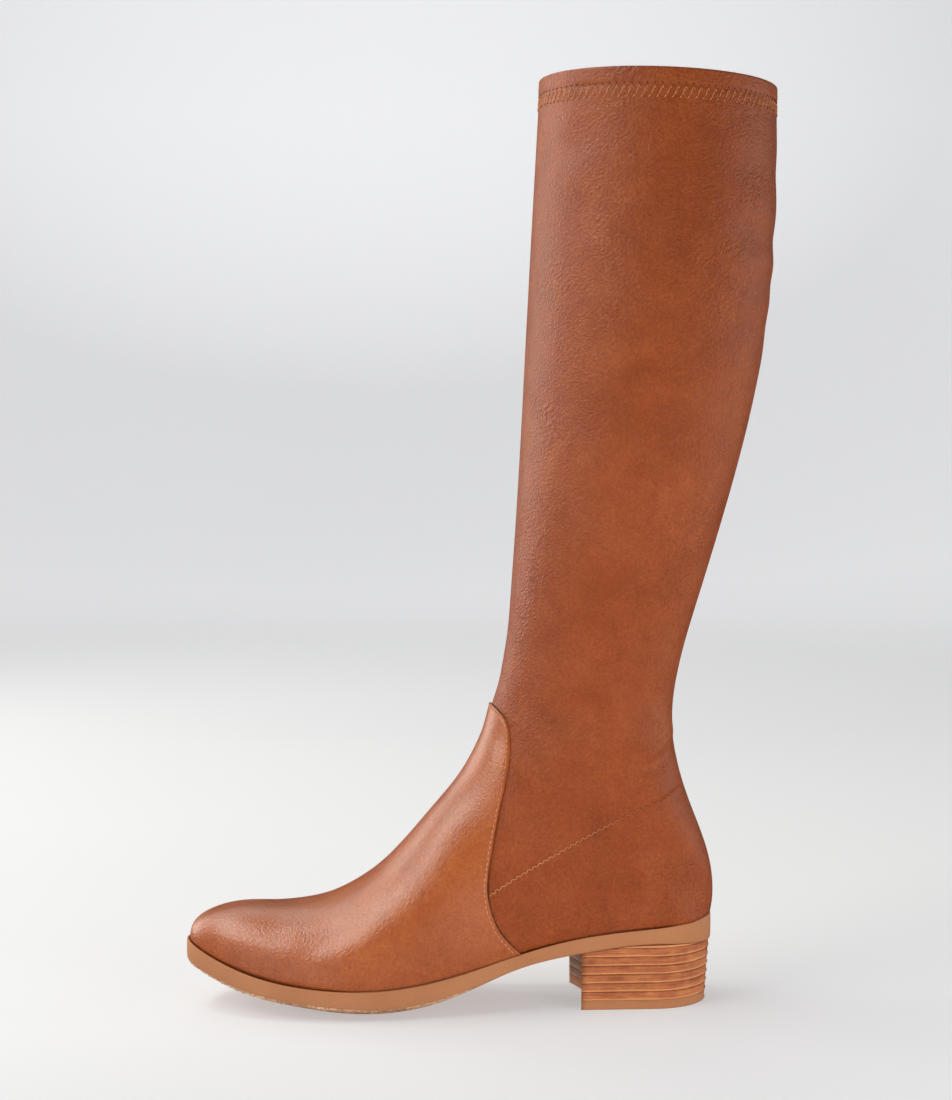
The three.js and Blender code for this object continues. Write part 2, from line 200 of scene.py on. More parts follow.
def upper_ring(place, offset, steps):
    """The section at a place between toe and collar, grown outward by an offset."""
    front_x, front_z, back_x, back_z, outer, inner, shift, wide, front_power, back_power = (
        upper_at(place)[0]
    )
    x = (front_x + back_x) / 2
    low = rounding(x, TOE_TOP[0] * TIP, TIP, TOE_TOP[1])
    outer_plan = rounding(x, OUTER_TOE[0] * TIP, TIP, OUTER_TOE[1])
    inner_plan = rounding(x, INNER_TOE[0] * TIP, TIP, INNER_TOE[1])
    slide = offset * np.clip((x / TIP - OUTER_TOE[0]) / (1 - OUTER_TOE[0]), 0, 1)
    reach = math.hypot(front_x - back_x, front_z - back_z)
    up_x, up_z = (front_x - back_x) / reach, (front_z - back_z) / reach
    middle = reach * wide * low
    front = (reach * (1 - wide) + offset) * low
    back = (reach * wide + offset) * low
    outward = (outer + offset) * outer_plan
    inward = (inner + offset) * inner_plan
    parts = [
        quarter(front, outward, front_power, steps),
        (quarter(back, outward, back_power, steps) * [-1, 1])[::-1],
        quarter(back, inward, back_power, steps) * [-1, -1],
        (quarter(front, inward, front_power, steps) * [1, -1])[::-1],
    ]
    flat = np.concatenate([part[:-1] for part in parts])
    forward = middle + flat[:, 0]
    return np.stack([
        back_x + slide + up_x * forward,
        shift + flat[:, 1],
        back_z + up_z * forward,
    ], 1)


def upper_grid(places, offset, steps):
    """Rings at several places, as an array of rows, columns and x, y, z."""
    return np.array([upper_ring(place, offset, steps) for place in places])


collar_ring = upper_ring(TOP, 0, 40)
girth = np.linalg.norm(collar_ring - np.roll(collar_ring, 1, 0), axis=1).sum()
print("collar girth:", round(girth), "mm")

# %% [markdown]
# ## From points to pieces
# Every sheet of leather here is a grid of rows and columns. One helper turns a grid into a
# mesh, gives it a finish, hangs it on the boot's root and hides the solids that it replaces.

# %% Helpers that make meshes
def grid_faces(rows, columns, closed=True):
    """Four-sided faces between the points of a grid. Closed grids join around."""
    last = columns if closed else columns - 1
    i, j = np.meshgrid(np.arange(rows - 1), np.arange(last), indexing="ij")
    k = (j + 1) % columns
    corners = [i * columns + j, i * columns + k, (i + 1) * columns + k, (i + 1) * columns + j]
    return np.stack(corners, -1).reshape(-1, 4)


def fan_faces(ring, centre):
    """Triangles from a closed ring of point numbers to a centre point."""
    return [(ring[i], ring[(i + 1) % len(ring)], centre) for i in range(len(ring))]


def run_along(line):
    """Distance from a line's first point to each of its points."""
    return np.concatenate([[0], np.cumsum(np.linalg.norm(np.diff(line, axis=0), axis=1))])


def resample(line, stops, run):
    """The points at some distances along a line whose own distances are known."""
    return np.stack([np.interp(stops, run, line[:, c]) for c in range(line.shape[1])], 1)


def add_piece(name, points, faces, finish, replaces=()):
    """A smooth mesh in the frame from boot millimetres."""
    mesh = bpy.data.meshes.new(name)
    mesh.from_pydata(metres(points).tolist(), [], [tuple(map(int, f)) for f in faces])
    mesh.validate()
    mesh.polygons.foreach_set("use_smooth", [True] * len(mesh.polygons))
    mesh.materials.append(finish)
    piece = in_scene(name, mesh)
    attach(piece, "root")
    if replaces:
        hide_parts(*replaces)
    triangles = sum(len(face.vertices) - 2 for face in mesh.polygons)
    print(f"{name}: {len(mesh.vertices)} points, {triangles} triangles")


def toe_places(start, count):
    """Places from the toe to the second section, closer together at the tip."""
    return upper_knots[1] * (1 - np.cos(np.linspace(start, 1, count) * math.pi / 2))


def outward(grid):
    """Unit normals of a grid that is closed around, pointing away from its middle."""
    along = np.gradient(grid, axis=0)
    around = np.roll(grid, -1, axis=1) - np.roll(grid, 1, axis=1)
    normal = np.cross(around, along)
    normal /= np.linalg.norm(normal, axis=2, keepdims=True) + 1e-9
    away = ((grid - grid.mean(axis=1, keepdims=True)) * normal).sum(axis=2).mean()
    return normal * np.sign(away)


def smooth_step(value, low, high):
    """0 below low, 1 above high, and a soft rise between."""
    t = np.clip((value - low) / (high - low), 0, 1)
    return t * t * (3 - 2 * t)


# %% [markdown]
# ## The sole's outline
# The outsole is known by its width and the heights of its top edge and its underside at a
# few stations. Loops stepped in from the outline then make a wall with rounded edges, a lip
# that the upper sits behind, and a crowned underside.

# %% The table of the sole and its outline
# x, outer, inner in thousandths; top, bottom, crown in mm.
SOLE = np.array([
    [0, 360, 355, 42.8, 29.6, 0],  # back
    [120, 362, 355, 39.6, 31.8, 0],  # seat
    [250, 372, 345, 36.0, 28.4, 0],  # breast
    [375, 410, 325, 28.9, 22.0, 0.5],  # waist
    [485, 470, 385, 20.9, 12.0, 4],  # shank
    [640, 530, 490, 14.6, 5.4, 6.1],  # ball
    [756, 535, 515, 15.3, 7.4, 6],  # joint
    [891, 510, 490, 21.3, 12.7, 2.6],  # toe
    [1000, 480, 470, 32.0, 22.6, 0.5],  # tip
])
SOLE[:, 0] *= SOLE_LENGTH / 1000
SOLE[:, 1:3] *= BALL_WIDTH / 1000
HEEL_ROUND = 30
sole_spline = natural_spline(SOLE[:, 0], SOLE[:, 1:])


def sole_at(x):
    """Outer and inner half-width, top, bottom and crown at each x."""
    x = np.clip(np.asarray(x, float), 0, SOLE_LENGTH)
    rows = sole_spline(x)
    heel = rounding(HEEL_ROUND - x, 0, HEEL_ROUND, 2)
    rows[:, 0] *= heel * rounding(x, OUTER_TOE[0] * SOLE_LENGTH, SOLE_LENGTH, OUTER_TOE[1])
    rows[:, 1] *= heel * rounding(x, INNER_TOE[0] * SOLE_LENGTH, SOLE_LENGTH, INNER_TOE[1])
    return rows.T


def even_outline(count):
    """The sole's outline as a closed loop of points at equal steps, outer side first."""
    x = SOLE_LENGTH * (1 - np.cos(np.linspace(0, math.pi, 1200))) / 2
    outer, inner = sole_at(x)[:2]
    loop = np.concatenate([
        np.stack([x, outer], 1), np.stack([x, -inner], 1)[::-1][1:],
    ])
    run = run_along(loop)
    return resample(loop, np.linspace(0, run[-1], count, endpoint=False), run)


def step_in(loop, inset):
    """A closed plan loop moved inward by an inset, square to itself."""
    along = np.roll(loop, -1, axis=0) - np.roll(loop, 1, axis=0)
    along /= np.linalg.norm(along, axis=1, keepdims=True)
    inward = np.stack([along[:, 1], -along[:, 0]], 1)
    return loop + inward * np.asarray(inset).reshape(-1, 1)


SOLE_POINTS = 420
outline = even_outline(SOLE_POINTS)
print("around the sole:", round(run_along(np.vstack([outline, outline[:1]]))[-1]), "mm")

# %% [markdown]
# ## Arithmetic on shader sockets
# A procedural finish is mostly sums: a grain times a mask, one minus a gap. So a small class
# wraps a socket and turns Python's own operators into Math nodes. Everything else goes
# through one method that adds any node.

# %% Sockets as numbers
class Wire:
    """One output of a shader node, used in sums as if it were a number."""

    def __init__(self, finish, socket):
        self.finish, self.socket = finish, socket

    def __add__(self, other):
        return self.finish.math("ADD", self, other)

    def __sub__(self, other):
        return self.finish.math("SUBTRACT", self, other)

    def __rsub__(self, other):
        return self.finish.math("SUBTRACT", other, self)

    def __mul__(self, other):
        return self.finish.math("MULTIPLY", self, other)

    def __truediv__(self, other):
        return self.finish.math("DIVIDE", self, other)

    __radd__ = __add__
    __rmul__ = __mul__


# %% A finish built one expression at a time
class Finish:
    """A material whose nodes are added by name, one line for each idea."""

    def __init__(self, name):
        self.material = bpy.data.materials.new(name)
        self.material.use_nodes = True
        self.tree = self.material.node_tree
        self.shader = self.tree.nodes["Principled BSDF"]

    def put(self, socket, value):
        """A link or a plain value into an input socket."""
        if isinstance(value, Wire):
            self.tree.links.new(value.socket, socket)
        elif isinstance(value, tuple) and len(value) == 3 and socket.type == "RGBA":
            socket.default_value = (*value, 1)
        else:
            socket.default_value = value

    def add(self, kind, settings, inputs, output=0):
        """Any node: its settings are set first, then its sockets."""
        node = self.tree.nodes.new(kind)
        for name, value in settings.items():
            if name == "stops":
                ramp = node.color_ramp
                while len(ramp.elements) < len(value):
                    ramp.elements.new(1)
                for element, (position, colour) in zip(ramp.elements, value):
                    element.position = position
                    element.color = (*colour, 1)
            else:
                setattr(node, name, value)
        for key, value in inputs.items():
            self.put(node.inputs[key], value)
        return Wire(self, node.outputs[output])

    def math(self, operation, *values):
        return self.add("ShaderNodeMath", {"operation": operation}, dict(enumerate(values)))

    def place(self):
        """Where a point is in the frame, in metres."""
        return self.add("ShaderNodeTexCoord", {}, {}, "Object")

    def moved(self, place, by):
        """The place shifted by a vector."""
        return self.add("ShaderNodeVectorMath", {"operation": "ADD"}, {0: place, 1: by}, "Vector")

    def stretched(self, place, scale):
        """The place with its axes scaled, for grain that runs one way."""
        return self.add("ShaderNodeMapping", {}, {"Vector": place, "Scale": scale})

    def noise(self, place, scale, detail=2.0, rough=0.5, twist=0.0):
        return self.add("ShaderNodeTexNoise", {}, {
            "Vector": place, "Scale": scale, "Detail": detail, "Roughness": rough,
            "Distortion": twist,
        })

    def cells(self, place, scale):
        inputs = {"Vector": place, "Scale": scale}
        return self.add("ShaderNodeTexVoronoi", {"feature": "SMOOTH_F1"}, inputs, "Distance")

    def rise(self, value, low, high, start=0.0, end=1.0):
        """A soft rise from start to end as the value goes from low to high."""
        return self.add("ShaderNodeMapRange", {"interpolation_type": "SMOOTHSTEP"}, {
            "Value": value, "From Min": low, "From Max": high, "To Min": start, "To Max": end,
        })

    def mix(self, factor, first, second):
        """Between two colours."""
        inputs = {0: factor, 6: first, 7: second}
        return self.add("ShaderNodeMix", {"data_type": "RGBA"}, inputs, 2)

    def tones(self, value, stops):
        return self.add("ShaderNodeValToRGB", {"stops": stops}, {"Fac": value}, "Color")

    def bump(self, height, deep, under=None):
        """A height from 0 to 1 as a bump that many metres deep."""
        inputs = {"Height": height, "Distance": deep, "Strength": 1.0}
        if under is not None:
            inputs["Normal"] = under
        return self.add("ShaderNodeBump", {}, inputs, "Normal")

    def curve(self, factors, value):
        """A polynomial, highest power first."""
        total = value * float(factors[0]) + float(factors[1])
        for factor in factors[2:]:
            total = total * value + float(factor)
        return total

    def xyz(self, place):
        node = self.add("ShaderNodeSeparateXYZ", {}, {"Vector": place}).socket.node
        return [Wire(self, node.outputs[i]) for i in range(3)]

    def done(self, **inputs):
        """Feeds the shader and hands back the material."""
        for name, value in inputs.items():
            self.put(self.shader.inputs[name.replace("_", " ")], value)
        return self.material


def paint(red, green, blue):
    """A colour as it looks on a screen, 0 to 255, in the linear light that shaders use."""
    return tuple(
        c / 12.92 if c <= 0.04045 else ((c + 0.055) / 1.055) ** 2.4
        for c in (red / 255, green / 255, blue / 255)
    )


# %% [markdown]
# ## Leather
# The leg and vamp are of one soft tan leather with a satin face, mottled, because the dye
# takes unevenly. The vamp's copy is a lighter tan, partly its own finish and partly painted
# light for the better-lit foot. Three sizes of noise give the colour, small cells the pebble
# grain, and slanted cells, stronger in patches, the tiny wrinkles.
# The seams over the heel and down the back are too narrow for the mesh, so their furrows are
# bump, made from the distance to the seam's line, and painted a little darker as shade. In the
# same way a thin line of painted shadow is laid where the leather goes in behind the sole and
# under the vamp's edge.

# %% The seam lines, as a shoemaker would mark them
# The diagonal seam, from the vamp up to the back of the ankle, as (x, z).
DIAGONAL_SEAM = [(112.5, 57.4), (67.3, 83.6), (19.3, 106.8)]
DIAGONAL_FADE = (16.5, 19.5)
BACK_SEAM_FROM = 44
BACK_SEAM_FADE = (58, 62)
SEAM_WIDTH = 0.9
SEAM_DEEP = 0.0003

seam_x, seam_z = np.array(DIAGONAL_SEAM, float).T
seam_curve = np.polyfit(seam_x, seam_z, 2)
print("diagonal seam rises", round(seam_z[-1] - seam_z[0]), "mm")

# The vamp's back edge, from the instep down to the sole, also as (x, z).
VAMP_EDGE = np.array([
    (138, 170), (110, 147), (105.5, 143), (101.8, 133), (104, 112), (108, 94), (111.5, 75),
    (113, 59), (110.6, 48), (105.5, 38), (96, 28), (91, 21), (88, 10),
], float)[::-1]
EDGE_MIDDLE = 85
EDGE_HALF = 65
edge_span = np.linspace(21, 147, 300)
edge_bend = np.polyfit(
    (edge_span - EDGE_MIDDLE) / EDGE_HALF,
    natural_spline(VAMP_EDGE[:, 1], VAMP_EDGE[:, :1])(edge_span)[:, 0], 8,
)
# The line where the upper goes in behind the sole, seen from the side.
sole_span = np.linspace(0, SOLE_LENGTH, 300)
SOLE_HALF = SOLE_LENGTH / 2
sole_bend = np.polyfit(sole_span / SOLE_HALF - 1, sole_at(sole_span)[2], 6)
# The painted shadow lines above the sole and behind the vamp: from and to in mm, and how strong.
SOLE_SHADOW_LINE = (0.2, 1.5, 0.75)
EDGE_SHADOW_LINE = (0.1, 1.4, 0.8)
EDGE_SHADOW_TOP = (145, 148)

# %% The leather finish
def leather(name, shift, tones, grain, wrinkled, shine, is_leg):
    """Tones are light, middle and dark screen colours; grain is the bump's depth in metres."""
    light, middle, dark = (paint(*tone) for tone in tones)
    f = Finish(name)
    place = f.place()
    hide = f.moved(place, shift)
    cloud = f.noise(hide, 13, 3, 0.55)
    mottle = f.noise(hide, 70, 4, 0.62, 0.4)
    fleck = f.noise(hide, 700, 3, 0.65)
    shade = cloud * 0.29 + mottle * 0.26 + fleck * 0.45
    colour = f.tones(shade, [(0.36, dark), (0.50, middle), (0.65, light)])
    pebbles = f.cells(hide, 1100)
    fine = f.noise(hide, 2600, 2, 0.6)
    patch = f.rise(f.noise(hide, 24, 2, 0.5, 0.6), 0.48, 0.62)
    slant = f.add("ShaderNodeMapping", {"vector_type": "TEXTURE"}, {
        "Vector": hide, "Rotation": (0.0, 0.75, 0.0), "Scale": (2.2, 1.0, 1.0),
    })
    stray = f.add("ShaderNodeVectorMath", {"operation": "SCALE"}, {
        0: f.add("ShaderNodeTexNoise", {}, {"Vector": hide, "Scale": 160.0}, "Color"),
        "Scale": 0.006,
    }, "Vector")
    wrinkle = f.cells(f.moved(slant, stray), 620)
    height = 0.42 * pebbles + 0.16 * fine + wrinkled * wrinkle * (0.25 + 0.75 * patch)
    normal = f.bump(height, grain)
    x, y, z = f.xyz(place)
    boot_x = (x - HEEL_BACK[0]) / MM
    boot_z = z / MM
    over_sole = boot_z - f.curve(sole_bend, boot_x / SOLE_HALF - 1)
    shadow = f.rise(over_sole, *SOLE_SHADOW_LINE, 0.0)
    if is_leg:
        off = f.math("ABSOLUTE", boot_z - f.curve(seam_curve, boot_x))
        diagonal = f.rise(off, 0.0, SEAM_WIDTH, 1.0, 0.0) * f.rise(boot_x, *DIAGONAL_FADE)
        behind = f.rise(boot_x, *BACK_SEAM_FADE, 1.0, 0.0)
        centre = f.rise(f.math("ABSOLUTE", y / MM), 0.0, SEAM_WIDTH * 0.8, 1.0, 0.0)
        furrow = f.math("MAXIMUM", diagonal, centre * behind)
        normal = f.bump(1 - furrow, SEAM_DEEP, normal)
        # Painted shade: the furrow is also darkened in colour, as shade in the groove.
        colour = f.mix(furrow * 0.18, colour, tuple(c * 0.45 for c in dark))
        edge = f.curve(edge_bend, (boot_z - EDGE_MIDDLE) / EDGE_HALF)
        edge_shadow = f.rise(edge - boot_x, *EDGE_SHADOW_LINE, 0.0)
        edge_shadow = edge_shadow * f.rise(boot_z, *EDGE_SHADOW_TOP, 1.0, 0.0)
        shadow = f.math("MAXIMUM", shadow, edge_shadow)
    # Painted shadow: darker along the sole line, and on the leg behind the vamp's edge.
    colour = f.mix(shadow, colour, tuple(c * 0.3 for c in dark))
    rough = 0.30 + 0.10 * mottle + 0.05 * patch
    return f.done(
        Base_Color=colour, Roughness=rough, Normal=normal, IOR=1.62,
        Specular_IOR_Level=shine,
    )


leg_hide = leather(
    "leg_hide", (0.0, 0.0, 0.0),
    ((164, 84, 37), (145, 67, 26), (126, 54, 20)), 0.001, 0.6, 0.43, True,
)
# Lighter tones than the leg's: partly the vamp's own finish, partly painted light.
vamp_hide = leather(
    "vamp_hide", (0.31, 0.17, 0.05),
    ((184, 101, 45), (163, 81, 32), (144, 66, 25)), 0.0004, 0.06, 0.88, False,
)
print("leather finishes:", leg_hide.name, vamp_hide.name)

# %% [markdown]
# ## Creases
# Leather remembers how it was bent. Each crease is a line placed on the side of the
# boot: a soft trough with a low ridge beside it. A negative depth makes a ridge. They are
# shallow, as on a boot that is not yet walked in.

# %% The table of creases and the relief that they give
# (points as x, z), half-width mm, depth mm, True to die out toward the boot's outline.
LEG_CREASES = [
    ([(17, 137), (21.5, 132.5), (26.5, 127.6), (32, 124.6), (46, 121.5)], 3.2, -1.1, True),
    ([(18, 129.5), (23.5, 124.5), (29.5, 120), (36, 117.6), (48, 116)], 3.8, 1.1, True),
    ([(26, 115), (38.4, 111), (54, 112)], 5, 0.8, True),
    ([(42, 121), (58.6, 118.1), (76, 121)], 6, 0.9, True),
    ([(16, 150), (34, 150), (54, 146)], 8, 0.6, True),
    ([(-34, 405), (-12, 402), (10, 407)], 7, 0.7, False),
    ([(-34, 372), (-16, 371), (2, 377)], 7, 1.1, False),
    ([(-34, 352), (-20, 350), (-4, 354)], 6, 0.6, False),
    ([(-32, 330), (-14, 333), (8, 330)], 9, 0.6, False),
    ([(92, 420), (78, 411), (60, 424)], 8, 0.9, True),
    ([(84, 398), (70, 384), (66, 366)], 10, 0.8, True),
    ([(90, 300), (74, 285), (60, 280)], 14, 0.6, True),
    ([(20, 190), (44, 182), (66, 186)], 11, 0.6, True),
]
VAMP_CREASES = [
    ([(205, 26), (196, 34), (183, 41), (168, 47)], 5.5, 0.7, False),
    ([(172, 60), (150, 66), (128, 84)], 9, 0.45, False),
    ([(214, 46), (200, 47), (188, 44)], 8, -0.35, False),
]


def crease_relief(points, creases):
    """How far the creases push each point of the surface out, in mm."""
    flat = points[..., [0, 2]]
    push = np.zeros(flat.shape[:-1])
    for line, width, depth, dies_out in creases:
        line = np.array(line, float)
        nearest = np.full(push.shape, np.inf)
        along = np.zeros(push.shape)
        lengths = np.linalg.norm(np.diff(line, axis=0), axis=1)
        before = np.concatenate([[0], np.cumsum(lengths)])
        for i, length in enumerate(lengths):
            step = (line[i + 1] - line[i]) / length
            t = np.clip((flat - line[i]) @ step, 0, length)
            away = np.linalg.norm(flat - line[i] - t[..., None] * step, axis=-1)
            closer = away < nearest
            nearest = np.where(closer, away, nearest)
            along = np.where(closer, before[i] + t, along)
        share = along / before[-1]
        fade = np.sin(np.pi * np.clip(0.03 + 0.97 * share, 0, 1)) ** 0.8
        trough = np.exp(-(nearest / width) ** 2)
        ridge = 0.35 * np.exp(-((nearest - 1.9 * width) / width) ** 2)
        face = smooth_step(np.abs(points[..., 1]), 3, 12) if dies_out else 1.0
        push -= depth * (trough - ridge) * fade * face
    return push


print(len(LEG_CREASES), "creases on the leg and", len(VAMP_CREASES), "on the vamp")

# %% [markdown]
# ## The leg
# The leg is one piece of leather from the sole to the collar, where it is turned over and
# down inside, which makes a soft, thicker hem. A Solidify modifier on a tube would have no
# fold there, so the grid itself runs up the outside, over the rim and down the inside.

# %% The leg grid
HEM_ROWS = {8.4: 0.2, 13.4: 0.1}  # mm below the collar: mm drawn in by the thread
HEM_TOP_ROW, HEM_LOW_ROW = HEM_ROWS
HEM_PUFF = 0.45
HEM_BETWEEN = 0.12
HEM_INSIDE = 15
RIM = WALL / 2
LEG_STEPS = 52
leg_places = np.concatenate([
    np.linspace(upper_knots[WAIST], TOP - 20, 250, endpoint=False),
    np.linspace(TOP - 20, TOP - RIM, 34),
])
leg = upper_grid(leg_places, 0, LEG_STEPS)
depth_below = (TOP - leg_places)[:, None]


def hem_relief(below):
    """The puffed hem, drawn in along its two rows of stitches."""
    puff = HEM_PUFF * smooth_step(-below, -HEM_TOP_ROW, -HEM_TOP_ROW + 3)
    between = HEM_BETWEEN * np.exp(-((below - (HEM_TOP_ROW + HEM_LOW_ROW) / 2) / 1.8) ** 2)
    rows = sum(deep * np.exp(-((below - row) / 0.9) ** 2) for row, deep in HEM_ROWS.items())
    return puff + between - rows


hem_end = hem_relief(np.array(RIM))
creased = crease_relief(leg, LEG_CREASES)
print(f"deepest crease {-creased.min():.2f} mm in a {WALL} mm wall")
leg = leg + outward(leg) * (creased + hem_relief(depth_below))[..., None]

folded = []
for turn in np.linspace(0, math.pi, 9)[1:]:
    ring = upper_ring(TOP, -RIM + math.cos(turn) * (RIM + hem_end), LEG_STEPS)
    ring[:, 2] += RIM * (math.sin(turn) - 1)
    folded.append(ring)
for below in np.linspace(RIM + 1, HEM_INSIDE, 14):
    folded.append(upper_ring(TOP - below, -WALL - 0.5 * hem_end, LEG_STEPS))
for deeper in (0.25, 0.55):
    folded.append(upper_ring(TOP - HEM_INSIDE - 0.1, -WALL + deeper, LEG_STEPS))
leg_rows = np.concatenate([leg, folded])
leg_faces = grid_faces(*leg_rows.shape[:2])
add_piece("leg", leg_rows.reshape(-1, 3), leg_faces, leg_hide, ["upper"])

# %% [markdown]
# ## The vamp
# The vamp covers the foot and is lapped over the leg, with its back edge folded under. The
# grid's columns run from the toe back over the foot. Each is cut where it meets the edge
# line, and its last rows roll over and down onto the leg, so the fold is real shape.

# %% The vamp grid
VAMP_STEPS = 46
VAMP_PROUD = 1.5
VAMP_SINK = 0.15
TOE_FILL = 0.9
edge_heights = np.linspace(10, 170, 321)
edge_curve = natural_spline(VAMP_EDGE[2:, 1], VAMP_EDGE[2:, :1])(edge_heights)[:, 0]
edge_curve = np.where(edge_heights < 22, 91.5, edge_curve)

foot_places = np.concatenate([
    toe_places(0.02, 60),
    np.linspace(upper_knots[1], upper_knots[10], 420)[1:],
])
proud = upper_grid(foot_places, VAMP_PROUD, VAMP_STEPS)
proud += outward(proud) * (TOE_FILL * smooth_step(proud[..., 0], 215, 250))[..., None]
sunk = upper_grid(foot_places, VAMP_SINK, VAMP_STEPS)
steps_back = np.linalg.norm(np.diff(proud, axis=0), axis=2)
runs = np.concatenate([np.zeros((1, proud.shape[1])), np.cumsum(steps_back, axis=0)])
ahead_of_edge = proud[..., 0] - np.interp(proud[..., 2], edge_heights, edge_curve)

FOLD = 0.55
FOLD_SWELL = 0.14
STITCH_IN = 1.7
STITCH_PULL = 0.2
from_edge = np.array([
    5.5, 4.6, 3.9, 3.3, 2.9, 2.6, 2.3, 2.0, 1.7, 1.4, 1.15, 0.9, 0.7, 0.5, 0.35, 0.22, 0.12,
    0.05, 0.0, 0.0, 0.0,
])
roll = 1 + FOLD_SWELL * np.exp(-((from_edge - 0.9) / 0.4) ** 2)
roll -= STITCH_PULL * np.exp(-((from_edge - STITCH_IN) / 0.4) ** 2)
round_off = np.clip(from_edge / FOLD, 0, 1)
roll *= 0.45 + 0.55 * np.sqrt(1 - (1 - round_off) ** 2)
roll[-2:] = 0.2, 0.0
main_rows = 150
even = np.linspace(0, 1, main_rows) ** 1.25
lift = np.concatenate([np.ones(main_rows), roll])[:, None]
vamp = np.zeros((main_rows + len(from_edge), proud.shape[1], 3))
for column in range(proud.shape[1]):
    front = ahead_of_edge[:, column]
    crossing = np.where((front[:-1] > 0) & (front[1:] <= 0))[0][-1]
    share = front[crossing] / (front[crossing] - front[crossing + 1])
    length = runs[crossing, column] + share * steps_back[crossing, column]
    stops = np.concatenate([even * (length - from_edge[0] - 0.9), length - from_edge])
    tops = resample(proud[:, column], stops, runs[:, column])
    lows = resample(sunk[:, column], stops, runs[:, column])
    vamp[:, column] = lows + (tops - lows) * lift

creased = crease_relief(vamp, VAMP_CREASES)
creased[main_rows:] = 0
vamp = vamp + outward(vamp) * creased[..., None]
vamp_points = np.vstack([vamp.reshape(-1, 3), vamp[0].mean(axis=0)])
vamp_faces = grid_faces(*vamp.shape[:2]).tolist()
vamp_faces += fan_faces(range(vamp.shape[1]), len(vamp_points) - 1)
add_piece("vamp", vamp_points, vamp_faces, vamp_hide, ["vamp"])

# %% [markdown]
# ## The lining
# The lining is a smooth pale sheet of the same form two millimetres in, from under the hem
# down to the toe. It goes in with the creases.

# %% The lining finish and mesh
def lining_cloth():
    f = Finish("lining_cloth")
    place = f.place()
    weave = f.noise(f.stretched(place, (1, 1, 0.35)), 1500, 2, 0.5)
    cloud = f.noise(place, 18, 2)
    colour = f.tones(0.6 * cloud + 0.4 * weave, [
        (0.35, paint(178, 138, 100)), (0.65, paint(202, 164, 124)),
    ])
    return f.done(Base_Color=colour, Roughness=0.8, Normal=f.bump(weave, 0.00015))


LINING_STEPS = 24
lining_places = np.concatenate([
    toe_places(0.1, 14),
    np.linspace(upper_knots[1], TOP - 4, 130)[1:],
])
lining = upper_grid(lining_places, -WALL, LINING_STEPS)
pressed = crease_relief(upper_grid(lining_places, 0, LINING_STEPS), LEG_CREASES)
lining = lining + outward(lining) * np.minimum(pressed, 0)[..., None]
lining_points = np.vstack([lining.reshape(-1, 3), lining[0].mean(axis=0)])
lining_faces = grid_faces(*lining.shape[:2])[:, ::-1].tolist()
lining_faces += fan_faces(range(lining.shape[1])[::-1], len(lining_points) - 1)
add_piece("lining", lining_points, lining_faces, lining_cloth())

# %% [markdown]
# ## Rubber and stacked layers
# The sole and the heel's top piece are matte moulded rubber, faintly mottled. The heel's
# layers show reddish-brown streaks, which are noise pulled out along them, and a thin light
# line at each joint, found from the height. The hollow front is sealed with a plain dressing,
# whose grey tone is a painted reflection of the floor.

# %% The rubber and stack finishes
TOP_PIECE = 4.7
LIFT = 4.3
LIFTS = 6


def rubber(name, light, dark, rough):
    f = Finish(name)
    place = f.place()
    cloud = f.noise(place, 30, 3)
    speck = f.noise(place, 1400, 2, 0.6)
    colour = f.tones(0.6 * cloud + 0.4 * speck, [(0.38, dark), (0.62, light)])
    scuff = f.noise(f.stretched(place, (0.3, 0.3, 3.0)), 500, 3, 0.6)
    return f.done(
        Base_Color=colour, Roughness=rough + 0.12 * cloud,
        Normal=f.bump(0.6 * speck + 0.4 * scuff, 0.00008), Specular_IOR_Level=0.35,
    )


def stacked_layers():
    f = Finish("stacked_layers")
    place = f.place()
    wobble = f.noise(f.stretched(place, (1, 1, 0.2)), 90, 2) - 0.5
    layer = (f.xyz(place)[2] / MM - TOP_PIECE + 0.35 * wobble) / LIFT
    share = f.math("FRACT", layer)
    under = f.rise(share, 0.78, 0.95)
    over = f.rise(share, 0.07, 0.20, 1.0, 0.0)
    line = f.math("MAXIMUM", f.rise(share, 0.93, 0.985), over)
    streaks = f.noise(f.stretched(place, (0.08, 0.08, 1.6)), 900, 4, 0.65)
    fibres = f.noise(f.stretched(place, (0.2, 0.2, 2.4)), 1500, 3, 0.7)
    blotch = f.noise(place, 150, 2)
    wood = f.tones(0.45 * streaks + 0.3 * fibres + 0.25 * blotch - 0.16 * under, [
        (0.34, paint(122, 58, 36)), (0.47, paint(158, 88, 54)), (0.60, paint(188, 116, 70)),
    ])
    glued = f.mix(line * (0.55 + 0.6 * blotch), wood, paint(214, 146, 90))
    # The forward-facing breast: a real dressing, greyed as a painted reflection of the floor.
    forward = f.xyz(f.add("ShaderNodeNewGeometry", {}, {}, "Normal"))[0]
    breast = f.rise(forward, 0.75, 0.92)
    breast_dressing_and_reflection = f.tones(fibres, [(0.3, paint(118, 84, 66)), (0.7, paint(142, 104, 82))])
    return f.done(
        Base_Color=f.mix(breast, glued, breast_dressing_and_reflection), Roughness=0.5 + 0.15 * fibres,
        Normal=f.bump(0.5 * streaks + 0.5 * line, 0.00012), Specular_IOR_Level=0.4,
    )


moulded_rubber = rubber("moulded_rubber", paint(172, 116, 78), paint(163, 107, 70), 0.55)
heel_stack = stacked_layers()
print("sole finishes:", moulded_rubber.name, heel_stack.name)

# %% [markdown]
# ## The outsole
# One moulding from heel to toe. Its edges are slightly rounded, and its top dips to a shelf
# behind a narrow lip, where the upper sits. The underside is a soft crown that rests on the
# floor only at the ball.

# %% The outsole mesh
LIP = 1.5
SHELF = 4.6
CROWN_FLAT = 0.45


